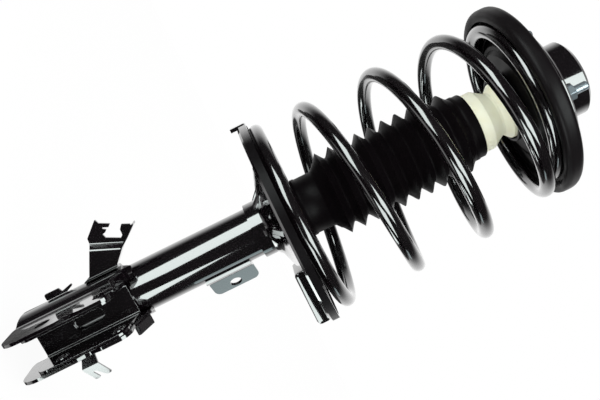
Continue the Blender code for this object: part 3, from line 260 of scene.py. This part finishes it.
def showPiece(name, mesh, body, nodes, material, sharpDegrees=40):
    piece = bpy.data.objects.new(name, mesh)
    bpy.context.scene.collection.objects.link(piece)
    mesh.materials.clear()
    mesh.materials.append(material)
    mesh.shade_smooth()
    mesh.set_sharp_from_angle(angle=math.radians(sharpDegrees))
    mesh.update()
    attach(piece, body)
    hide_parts(*nodes)
    return piece


def roundedProfile(corners, steps):
    # corners are (radius, height, fillet) in mm; each is replaced by points on its fillet's arc,
    # found as a quadratic blend between the two tangent points
    points = np.array([c[:2] for c in corners], float)
    fillets = np.array([c[2] for c in corners], float)
    before = np.roll(points, 1, axis=0) - points
    after = np.roll(points, -1, axis=0) - points
    before /= np.linalg.norm(before, axis=1, keepdims=True)
    after /= np.linalg.norm(after, axis=1, keepdims=True)
    half = np.arccos(np.clip((before * after).sum(axis=1), -1, 1)) / 2
    reach = (fillets / np.tan(np.maximum(half, 0.05)))[:, None]        # finite in a folded corner
    share = np.linspace(0, 1, steps)[None, :, None]
    start = (points + before * reach)[:, None]
    end = (points + after * reach)[:, None]
    middle = points[:, None]
    curve = (1 - share) ** 2 * start + 2 * share * (1 - share) * middle + share ** 2 * end
    sharp = fillets == 0
    return np.concatenate([middle[i] if sharp[i] else curve[i] for i in range(len(points))])


def turnedMesh(name, profile, steps, centreX=0.0):
    # a closed profile of (radius, height) in mm, clockwise, swept round Z: x = r cos a, y = r sin a
    angle = np.linspace(0, 2 * np.pi, steps, endpoint=False)
    radius, height = profile[:, :1], profile[:, 1:2]
    grid = np.stack([centreX + radius * np.cos(angle), radius * np.sin(angle),
                     height + 0 * angle], axis=-1) * millimetre
    return meshFromGrid(name, grid)


# in mm and turns; closeBefore is how far before the top the radius is half closed in
spring = {"seatZ": 255.6, "length": 243.8, "meanRadius": 89.5, "topRadius": 75.5, "wire": 14.0,
          "turns": 4.85, "startDegrees": 25.0, "deadTurns": 0.78, "pitchBlend": 0.5,
          "pitchFall": 0.22, "closeBefore": 0.98, "closeOver": 0.8, "offset": 5.8,
          "pointsPerTurn": 72, "sides": 28, "endRound": 1.2, "endSteps": 5, "hub": (0.5, 0.02)}


def springLine(count):
    # the wire's centre against turns: the pitch rises from nothing after the lower end turn, eases
    # off on the way up and falls to nothing before the top turn, where the radius closes in and
    # the turn comes round onto the damper's axis; the second value is that turn's own centre
    turns = np.linspace(0, spring["turns"], count)

    def softStep(middle, width):
        share = np.clip((turns - middle) / width + 0.5, 0, 1)
        return share * share * (3 - 2 * share)

    slope = softStep(spring["deadTurns"], spring["pitchBlend"])
    slope = slope * (1 - softStep(spring["turns"] - spring["deadTurns"], spring["pitchBlend"]))
    fall = 1 - softStep(spring["turns"] / 2, spring["turns"])
    slope = slope * (1 + spring["pitchFall"] * fall)
    climb = np.concatenate([[0], np.cumsum((slope[1:] + slope[:-1]) / 2)])
    rise = climb / climb[-1] * (spring["length"] - spring["wire"])
    height = spring["seatZ"] + spring["wire"] / 2 + rise
    closing = softStep(spring["turns"] - spring["closeBefore"], spring["closeOver"])
    radius = spring["meanRadius"] + (spring["topRadius"] - spring["meanRadius"]) * closing
    centre = spring["offset"] * (1 - closing)
    angle = math.radians(spring["startDegrees"]) + 2 * np.pi * turns
    line = np.stack([centre + radius * np.cos(angle), radius * np.sin(angle), height], axis=1)
    return line, np.stack([centre, 0 * centre, 0 * centre], axis=1)


def springWire(material):
    # circles of points square to the centre line; the last few shrink into a rounded, cut end
    line, centre = springLine(int(spring["turns"] * spring["pointsPerTurn"]) + 1)
    along = np.gradient(line, axis=0)
    along /= np.linalg.norm(along, axis=1, keepdims=True)
    outward = line - centre
    outward[:, 2] = 0
    outward -= (outward * along).sum(axis=1, keepdims=True) * along
    outward /= np.linalg.norm(outward, axis=1, keepdims=True)
    third = np.cross(along, outward)
    angle = np.linspace(0, 2 * np.pi, spring["sides"], endpoint=False)
    ring = (outward[:, None] * np.cos(angle)[None, :, None]
            + third[:, None] * np.sin(angle)[None, :, None])
    radius = spring["wire"] / 2
    body = line[:, None] + ring * radius
    # each end: a quarter-round edge, then the flat cut drawn in to a small hub
    turnIn = np.linspace(0, np.pi / 2, spring["endSteps"])[1:]
    edge = spring["endRound"]
    hub = [radius * share for share in spring["hub"]]
    reach = np.concatenate([radius - edge + edge * np.cos(turnIn), hub])
    out = np.concatenate([edge * np.sin(turnIn), [edge, edge]])
    startCap = line[0] - along[0] * (out[:, None, None] - edge) + ring[0] * reach[:, None, None]
    endCap = line[-1] + along[-1] * (out[:, None, None] - edge) + ring[-1] * reach[:, None, None]
    body[0] += along[0] * edge
    body[-1] -= along[-1] * edge
    grid = np.concatenate([startCap[::-1], body, endCap]) * millimetre
    mesh = meshFromGrid("springWire", grid, closedAlong=False)
    piece = showPiece("springWire", mesh, "strut_body", ["coil_spring"],
                      material)
    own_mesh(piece)        # 100 mm is the whole stroke


# in mm; the ribs reach their full radius within 1 / growth of the way down, slant makes up for
# the wall's lean, and a bead is how far it stands out with its corners' heights over its foot
boot = {"bottom": 267.8, "cuffTop": 292.3, "ribsBottom": 295.8, "ribsTop": 436.0, "top": 448.0,
        "ribs": 10, "pointsPerRib": 16, "ribRadius": 42.6, "topRibRadius": 40.5, "growth": 3,
        "valleyRadius": 32.6, "valleyRound": 0.16, "crestRound": 0.06, "wall": 1.5, "slant": 1.3,
        "cuffRadius": 28.0, "cuffBore": 26.2, "collarRadius": 32.0, "collarBore": 29.9,
        "collarEdge": (0.5, 0.6), "collarBead": (0.7, (6.0, 5.0, 2.5, 1.5)),
        "cuffShoulder": (1.0, 2.0), "cuffBead": (0.8, (6.5, 5.5, 2.5, 1.5)), "cuffEdge": 0.4,
        "boreEdge": 0.6, "steps": 112}


def beadLine(radius, foot, bead):
    # a moulded bead's outline from the top down: out, along its crest and back in
    out, heights = bead
    return [(radius + step, foot + height) for step, height in zip((0, out, out, 0), heights)]


def dustBoot(material):
    # ribs: radius swings between valley and crest as a rounded triangle wave along the height;
    # the inner skin is the outer one moved in by the wall
    phase = np.linspace(0, boot["ribs"], boot["ribs"] * boot["pointsPerRib"] + 1)
    wave = np.abs((phase % 1.0) - 0.5) * 2          # 1 in a valley, 0 on a crest
    swing = np.sqrt((1 - wave) ** 2 + boot["valleyRound"] ** 2) - boot["valleyRound"]
    swing = 1 - np.sqrt((1 - swing) ** 2 + boot["crestRound"] ** 2) + boot["crestRound"]
    share = phase / boot["ribs"]
    height = boot["ribsTop"] - (boot["ribsTop"] - boot["ribsBottom"]) * share
    grown = np.clip(share * boot["growth"], 0, 1)
    crest = boot["topRibRadius"] + (boot["ribRadius"] - boot["topRibRadius"]) * grown
    radius = boot["valleyRadius"] + (crest - boot["valleyRadius"]) * swing
    ribs = np.stack([radius, height], axis=1)
    inward, downward = boot["collarEdge"]
    collar = np.array([(boot["collarBore"] + inward, boot["top"]),
                       (boot["collarRadius"] - inward, boot["top"]),
                       (boot["collarRadius"], boot["top"] - downward),
                       *beadLine(boot["collarRadius"], boot["ribsTop"], boot["collarBead"])])
    out, down = boot["cuffShoulder"]
    cuff = np.array([(boot["cuffRadius"] + out, boot["cuffTop"]),
                     (boot["cuffRadius"], boot["cuffTop"] - down),
                     *beadLine(boot["cuffRadius"], boot["bottom"], boot["cuffBead"]),
                     (boot["cuffRadius"], boot["bottom"] + boot["cuffEdge"]),
                     (boot["cuffRadius"] - boot["cuffEdge"], boot["bottom"]),
                     (boot["cuffBore"], boot["bottom"])])
    bore = np.array([(boot["cuffBore"], boot["cuffTop"] - boot["boreEdge"])])
    skin = np.maximum(radius[::-1] - boot["wall"] * boot["slant"], boot["collarBore"])
    inner = np.stack([skin, height[::-1]], axis=1)[boot["pointsPerRib"] // 2:-1]
    neck = np.array([(boot["collarBore"], boot["ribsTop"]),
                     (boot["collarBore"], boot["top"] - inward)])
    profile = np.concatenate([collar, ribs, cuff, bore, inner, neck])
    mesh = turnedMesh("bootSkin", profile, boot["steps"])
    piece = showPiece("bootSkin", mesh, "strut_body", ["dust_boot"], material, 50)
    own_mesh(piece)        # 100 mm is the whole stroke


# in mm; the relief's middle and half width round the ring are in degrees
insulator = {"out": 94.5, "bead": 6.4, "low": 491.2, "high": 507.6, "lipIn": 85.0, "skirtIn": 84.3,
             "padLow": 499.7, "padIn": 67.5, "padHigh": 502.2, "groove": 90.3, "grooveHigh": 505.3,
             "arcSteps": 9, "steps": 160}
mouthRelief = {"middle": 12.0, "half": 66.0, "out": 4.0, "up": 3.0, "tall": 6.5,
               "lift": 4.0, "skin": 1.0}


def relieveMouth(mesh):
    # where the wire leaves the skirt its mouth is relieved: points near the mouth move outwards and
    # up by a share that falls as the root of a raised cosine round the ring and as a square above
    points = np.empty(len(mesh.vertices) * 3)
    mesh.vertices.foreach_get("co", points)
    points = points.reshape(-1, 3) / millimetre
    radius = np.hypot(points[:, 0], points[:, 1])
    turn = np.degrees(np.arctan2(points[:, 1], points[:, 0])) - mouthRelief["middle"]
    turn = np.clip(((turn + 180) % 360 - 180) / mouthRelief["half"], -1, 1)
    above = np.clip(1 - (points[:, 2] - insulator["low"]) / mouthRelief["tall"], 0, 1)
    share = np.sqrt(0.5 + 0.5 * np.cos(np.pi * turn)) * (1 - (1 - above) ** 2)
    depth = insulator["out"] - insulator["skirtIn"]
    inward = np.clip((insulator["out"] - radius) / depth, 0, 1)
    inward[radius < insulator["skirtIn"] - mouthRelief["skin"]] = 0
    grown = radius + mouthRelief["out"] * share * inward
    points[:, :2] *= (grown / radius)[:, None]
    lifted = (insulator["low"] + mouthRelief["lift"] - points[:, 2]) / mouthRelief["lift"]
    points[:, 2] += mouthRelief["up"] * share * np.clip(lifted, 0, 1)
    mesh.vertices.foreach_set("co", (points * millimetre).ravel())


def upperInsulator(material):
    # a C-shaped ring: a fat rounded bead outside, a skirt round the spring's top turn, a pad on
    # that turn and a groove for the seat's flange
    look = insulator
    corners = [(look["lipIn"], look["high"], 1.0), (look["out"], look["high"], look["bead"]),
               (look["out"], look["low"], look["bead"]), (look["skirtIn"], look["low"], 2.0),
               (look["skirtIn"], look["padLow"], 1.5), (look["padIn"], look["padLow"], 0.6),
               (look["padIn"], look["padHigh"], 0.6), (look["groove"], look["padHigh"], 0),
               (look["groove"], look["grooveHigh"], 0), (look["lipIn"], look["grooveHigh"], 0.5)]
    profile = roundedProfile(corners, look["arcSteps"])
    mesh = turnedMesh("upperInsulatorRing", profile, look["steps"])
    relieveMouth(mesh)
    showPiece("upperInsulatorRing", mesh, "upper_seat", ["upper_insulator"],
              material)


def turnedPiece(name, look, materials):
    # a section of (radius, height, fillet) corners in mm, clockwise, rounded and swept round Z
    profile = roundedProfile(look["corners"], look["arcSteps"])
    mesh = turnedMesh(name, profile, look["steps"], look.get("centreX", 0.0))
    showPiece(name, mesh, look["body"], [look["node"]], materials[look["slot"]],
              look.get("sharpDegrees", 40))


# the ring that the dead turn rests on, round the spring's own axis
lowerInsulator = {
    "node": "lower_insulator", "body": "strut_body", "slot": "black_rubber",
    "arcSteps": 4, "steps": 128, "centreX": spring["offset"],
    "corners": [(80.3, 255.3, 1.2), (98.5, 255.3, 1.2), (98.5, 251.3, 0.5), (80.3, 251.3, 0.5)]}

# lobes and waists of the cast stop, rounded where the CAD profile has corners
bumpStop = {
    "node": "bump_stop", "body": "upper_seat", "slot": "cream_urethane",
    "arcSteps": 6, "steps": 96, "sharpDegrees": 60,
    "corners": [(11.0, 488.7, 0.5), (28.5, 488.7, 1.0), (28.0, 481.2, 1.5), (27.8, 478.6, 1.5),
                (22.0, 472.9, 1.5), (22.0, 470.5, 1.5), (27.6, 461.8, 1.8), (29.5, 459.0, 1.5),
                (29.5, 438.0, 2.0), (23.2, 434.0, 3.0), (22.0, 426.4, 2.5), (19.0, 419.2, 2.0),
                (11.0, 419.2, 0.8)]}

# bonded cone of rubber between the core and the dome, waisted top and bottom
mountRubber = {
    "node": "mount_rubber", "body": "top_mount", "slot": "black_rubber",
    "arcSteps": 5, "steps": 96,
    "corners": [(16.3, 530.3, 0.5), (19.5, 549.5, 1.5), (30.7, 549.5, 1.5), (33.7, 546.3, 1.0),
                (33.7, 509.3, 1.0), (29.7, 506.3, 2.0), (20.3, 506.3, 2.0), (16.3, 510.3, 0.5)]}

# lip seal round the rod, hollowed under its lip
rodSeal = {
    "node": "rod_seal", "body": "strut_body", "slot": "black_rubber",
    "arcSteps": 3, "steps": 64,
    "corners": [(10.5, 290.0, 0.3), (21.2, 290.0, 0.3), (21.2, 285.0, 0.3), (13.5, 285.0, 0.6),
                (10.5, 287.0, 0.3)]}

# plain ring on the rod, as tall as its CAD node
stopLow, stopHigh = (v[2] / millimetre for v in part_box("rebound_stop"))
reboundStop = {
    "node": "rebound_stop", "body": "top_mount", "slot": "black_rubber",
    "arcSteps": 3, "steps": 64,
    "corners": [(10.3, stopHigh, 0.5), (13.5, stopHigh, 1.0), (13.5, stopLow, 1.0),
                (10.3, stopLow, 0.5)]}


edges = {"mergeMm": 0.002, "flatDegrees": 0.4, "sharpDegrees": 32, "segments": 2, "faceWeight": 90}


def smoothedCopy(node, body, material, bevelMm):
    # the CAD node's own triangles, merged, with its edges rounded as pressing and paint leave them
    shape = bmesh.new()
    shape.from_mesh(frame["nodes"][node].data)
    bmesh.ops.remove_doubles(shape, verts=shape.verts, dist=edges["mergeMm"] * millimetre)
    bmesh.ops.dissolve_limit(shape, angle_limit=math.radians(edges["flatDegrees"]),
                             verts=shape.verts, edges=shape.edges)
    mesh = bpy.data.meshes.new(node + "_painted")
    shape.to_mesh(mesh)
    shape.free()
    piece = showPiece(node + "_painted", mesh, body, [node], material,
                      edges["sharpDegrees"])
    rounding = piece.modifiers.new("roundedEdges", "BEVEL")
    rounding.width = bevelMm * millimetre
    rounding.segments = edges["segments"]
    rounding.limit_method = "ANGLE"
    rounding.angle_limit = math.radians(edges["sharpDegrees"])
    rounding.harden_normals = True
    weigh = piece.modifiers.new("flatFacesFirst", "WEIGHTED_NORMAL")
    weigh.keep_sharp = True
    weigh.weight = edges["faceWeight"]
    return piece


# the width of each metal node's rounded edges in mm, by the body that it rides
rigidNodes = {
    "strut_body": {
        "strut_tube": 0.4, "base_cap": 0.4, "tube_cap": 0.3, "knuckle_bracket": 0.6,
        "knuckle_channel": 0.5, "hose_bracket": 0.35, "cable_tab": 0.3, "clip_fork": 0.3,
        "link_bracket": 0.5, "lower_spring_seat": 0.6},
    "upper_seat": {"upper_spring_seat": 0.5, "bump_stop_cup": 0.4},
    "top_mount": {
        "mount_plate": 0.6, "mount_core": 0.4, "piston_rod": 0.3, "rod_washer": 0.3,
        "rod_nut": 0.3, "mount_stud_1": 0.2, "mount_stud_2": 0.2, "mount_stud_3": 0.2,
        "mount_nut_1": 0.25, "mount_nut_2": 0.25, "mount_nut_3": 0.25},
}


def dullRim(piece, material):
    # the seat's drawn outer wall is satin: its faces stand upright, outside the given radius
    rim = {"radius": 97.0, "upright": 0.35}
    piece.data.materials.append(material)
    for face in piece.data.polygons:
        out = math.hypot(face.center.x, face.center.y) > rim["radius"] * millimetre
        face.material_index = int(out and abs(face.normal.z) < rim["upright"])


def dressNodes(materials):
    slots = {s["node"]: s["material_slot"] for s in frame["record"]["subparts"]}
    for body, nodes in rigidNodes.items():
        for node, bevelMm in nodes.items():
            finish = "dip_coat" if body == "upper_seat" else slots[node]
            piece = smoothedCopy(node, body, materials[finish], bevelMm)
            if node == "lower_spring_seat":
                dullRim(piece, materials["dip_coat"])
    for node, obj in frame["nodes"].items():
        obj.data.materials.clear()
        obj.data.materials.append(materials[slots[node]])


view = {"target": (-0.00766, 0.00149, 0.2715), "towards": (-0.191, -0.982, 0.0), "distance": 0.665,
        "lens": 42.0, "clipStart": 0.01, "rollFromUp": 26.16}


def pictureSides():
    # from the strut to the camera, and towards the side that the picture shows as down
    towards = Vector(view["towards"]).normalized()
    return towards, Vector((-towards.y, towards.x, 0.0))


def makeCamera():
    # the picture's right is +Z turned by the roll towards the side that the strut shows as down
    towards, down = pictureSides()
    roll = math.radians(view["rollFromUp"])
    right = math.cos(roll) * Vector((0, 0, 1)) + math.sin(roll) * down
    up = math.sin(roll) * Vector((0, 0, 1)) - math.cos(roll) * down
    data = bpy.data.cameras.new("photoCamera")
    data.lens = view["lens"]
    data.clip_start = view["clipStart"]
    camera = bpy.data.objects.new("photoCamera", data)
    place = Matrix((right, up, towards)).transposed().to_4x4()
    place.translation = Vector(view["target"]) + towards * view["distance"]
    camera.matrix_world = place
    bpy.context.scene.collection.objects.link(camera)
    bpy.context.scene.camera = camera


# degrees are from the camera's side, + towards the lower picture edge; lean turns the lamp in its
# own plane, and z is the height of its middle beside the standing strut
lampWhite = "#f6fffd"
lamps = {
    # on the picture's upper side: the broad streak along the tube
    "upperSoftbox": {"degrees": -36, "lean": 45, "distance": 1.5, "width": 0.80, "height": 1.45,
                     "z": 0.0, "power": 4.6, "tint": lampWhite},
    # on its lower side and low down: the streak that tapers out halfway up the tube
    "lowerSoftbox": {"degrees": 52, "lean": -25, "distance": 1.5, "width": 1.30, "height": 1.10,
                     "z": -0.76, "power": 4.6, "tint": lampWhite},
    # above the strut, for faces that look up
    "topSoftbox": {"degrees": 26, "lean": 45, "distance": 1.5, "width": 1.10, "height": 1.10,
                   "z": 1.15, "power": 4.8, "tint": lampWhite},
    # small and from the side, for the face of the link bracket
    "sideFill": {"degrees": 104, "lean": 0, "distance": 1.5, "width": 0.45, "height": 0.26,
                 "z": 0.0, "power": 1.1, "tint": "#e6fcff"},
    # low and behind, for the underside of the lower seat
    "lowCard": {"degrees": 130, "lean": 0, "distance": 1.0, "width": 0.70, "height": 0.90,
                "z": -0.95, "power": 4.2, "tint": lampWhite},
}


def makeLamps():
    towards, down = pictureSides()
    for name, lamp in lamps.items():
        turn = math.radians(lamp["degrees"])
        direction = math.cos(turn) * towards + math.sin(turn) * down
        data = bpy.data.lights.new(name, "AREA")
        data.shape = "RECTANGLE"
        data.size, data.size_y = lamp["width"], lamp["height"]
        # an area lamp of this radiance gives radiance * area * pi watts
        data.energy = lamp["power"] * lamp["width"] * lamp["height"] * math.pi
        data.color = linearColour(lamp["tint"])[:3]
        made = bpy.data.objects.new(name, data)
        made.location = direction * lamp["distance"] + Vector((0, 0, lamp["z"]))
        made.rotation_mode = "QUATERNION"
        upright = direction.to_track_quat("Z", "Y")
        made.rotation_quaternion = upright @ Quaternion((0, 0, 1), math.radians(lamp["lean"]))
        made.visible_camera = False
        bpy.context.scene.collection.objects.link(made)


# what gloss sees; each ramp is (from low, from high, to low, to high) of how far a direction points
# behind the object, across the picture or up
room = {"backdrop": (0.2, 0.75, 0.02, 1.0),         # dark before the object, white behind it
        "edgeDrop": (-0.345, -0.41, 0.0, 0.15),     # its lower edge drops towards the side
        "sweepEnd": (-0.39, -0.35, 0.05, 1.0),      # and there the white ends in a dark gap
        "floorGlow": (-0.86, -0.95, 0.0, 0.7),      # under which the floor is pale
        "evenLight": 1.0, "cameraWhite": 1.0}


def makeWorld():
    # plain white to the camera, the room to gloss, and a soft even light to everything else
    world = bpy.data.worlds.new("studio")
    world.use_nodes = True
    tree = world.node_tree
    tree.nodes.clear()
    smooth = {"interpolation_type": "SMOOTHSTEP"}
    towards, down = pictureSides()
    place = addNode(tree, "ShaderNodeTexCoord")
    facing = addNode(tree, "ShaderNodeVectorMath", {"operation": "DOT_PRODUCT"},
                     {0: (place, "Generated"), 1: -towards})
    across = addNode(tree, "ShaderNodeVectorMath", {"operation": "DOT_PRODUCT"},
                     {0: (place, "Generated"), 1: down})
    apart = addNode(tree, "ShaderNodeSeparateXYZ", None, {"Vector": (place, "Generated")})
    backdrop = addNode(tree, "ShaderNodeMapRange", smooth,
                       rangeInputs((facing, "Value"), room["backdrop"]))
    drop = addNode(tree, "ShaderNodeMapRange", None,
                   rangeInputs((across, "Value"), room["edgeDrop"]))
    edge = addNode(tree, "ShaderNodeMath", {"operation": "ADD"},
                   {0: (apart, "Z"), 1: (drop, "Result")})
    sweepEnd = addNode(tree, "ShaderNodeMapRange", smooth,
                       rangeInputs((edge, "Value"), room["sweepEnd"]))
    sweep = addNode(tree, "ShaderNodeMath", {"operation": "MULTIPLY"},
                    {0: (backdrop, "Result"), 1: (sweepEnd, "Result")})
    below = addNode(tree, "ShaderNodeMapRange", smooth,
                    rangeInputs((apart, "Z"), room["floorGlow"]))
    lit = addNode(tree, "ShaderNodeMath", {"operation": "MAXIMUM"},
                  {0: (sweep, "Value"), 1: (below, "Result")})
    path = addNode(tree, "ShaderNodeLightPath")
    glossy = addNode(tree, "ShaderNodeMix", {"data_type": "FLOAT"},
                     {0: (path, "Is Glossy Ray"), 2: room["evenLight"], 3: (lit, "Value")})
    seen = addNode(tree, "ShaderNodeMath", {"operation": "MAXIMUM"},
                   {0: (path, "Is Camera Ray"), 1: (path, "Is Transmission Ray")})
    strength = addNode(tree, "ShaderNodeMix", {"data_type": "FLOAT"},
                       {0: (seen, "Value"), 2: (glossy, 0), 3: room["cameraWhite"]})
    background = addNode(tree, "ShaderNodeBackground", None,
                         {"Color": (1, 1, 1, 1), "Strength": (strength, 0)})
    addNode(tree, "ShaderNodeOutputWorld", None, {"Surface": (background, "Background")})
    bpy.context.scene.world = world


def makeFloor():
    # pale floor under the standing strut; it shows to the camera as nearly white and keeps a shadow
    look = {"reach": 4.0, "height": -0.0173, "paper": "#f4f4f2", "roughness": 0.9, "glow": 0.95}
    corners = [(across * look["reach"], along * look["reach"], look["height"])
               for across, along in ((-1, -1), (1, -1), (1, 1), (-1, 1))]
    mesh = bpy.data.meshes.new("paperFloor")
    mesh.from_pydata(corners, [], [(0, 1, 2, 3)])
    floor = bpy.data.objects.new("paperFloor", mesh)
    bpy.context.scene.collection.objects.link(floor)
    made, tree, shader = newMaterial("whitePaperSweep")
    shader.inputs["Base Color"].default_value = linearColour(look["paper"])
    shader.inputs["Roughness"].default_value = look["roughness"]
    path = addNode(tree, "ShaderNodeLightPath")
    share = addNode(tree, "ShaderNodeMath", {"operation": "MULTIPLY"},
                    {0: (path, "Is Camera Ray"), 1: look["glow"]})
    glow = addNode(tree, "ShaderNodeEmission", None, {"Strength": 1.0})
    both = addNode(tree, "ShaderNodeMixShader", None,
                   {0: (share, "Value"), 1: (shader, "BSDF"), 2: (glow, "Emission")})
    tree.links.new(both.outputs["Shader"], tree.nodes["Material Output"].inputs["Surface"])
    mesh.materials.append(made)
    floor.visible_glossy = False


makeCamera()
makeLamps()
makeWorld()
makeFloor()
bpy.context.scene.view_settings.view_transform = "Standard"
print("camera, lamps and floor placed")
materials = makeMaterials()
dressNodes(materials)
print("metal pieces dressed")
springWire(materials["spring_powder_coat"])
dustBoot(materials["boot_rubber"])
upperInsulator(materials["black_rubber"])
turnedPiece("lowerInsulatorRing", lowerInsulator, materials)
turnedPiece("bumpStopBody", bumpStop, materials)
turnedPiece("mountRubberCone", mountRubber, materials)
turnedPiece("rodSealRing", rodSeal, materials)
turnedPiece("reboundStopRing", reboundStop, materials)
print("spring, boot and rubber made")
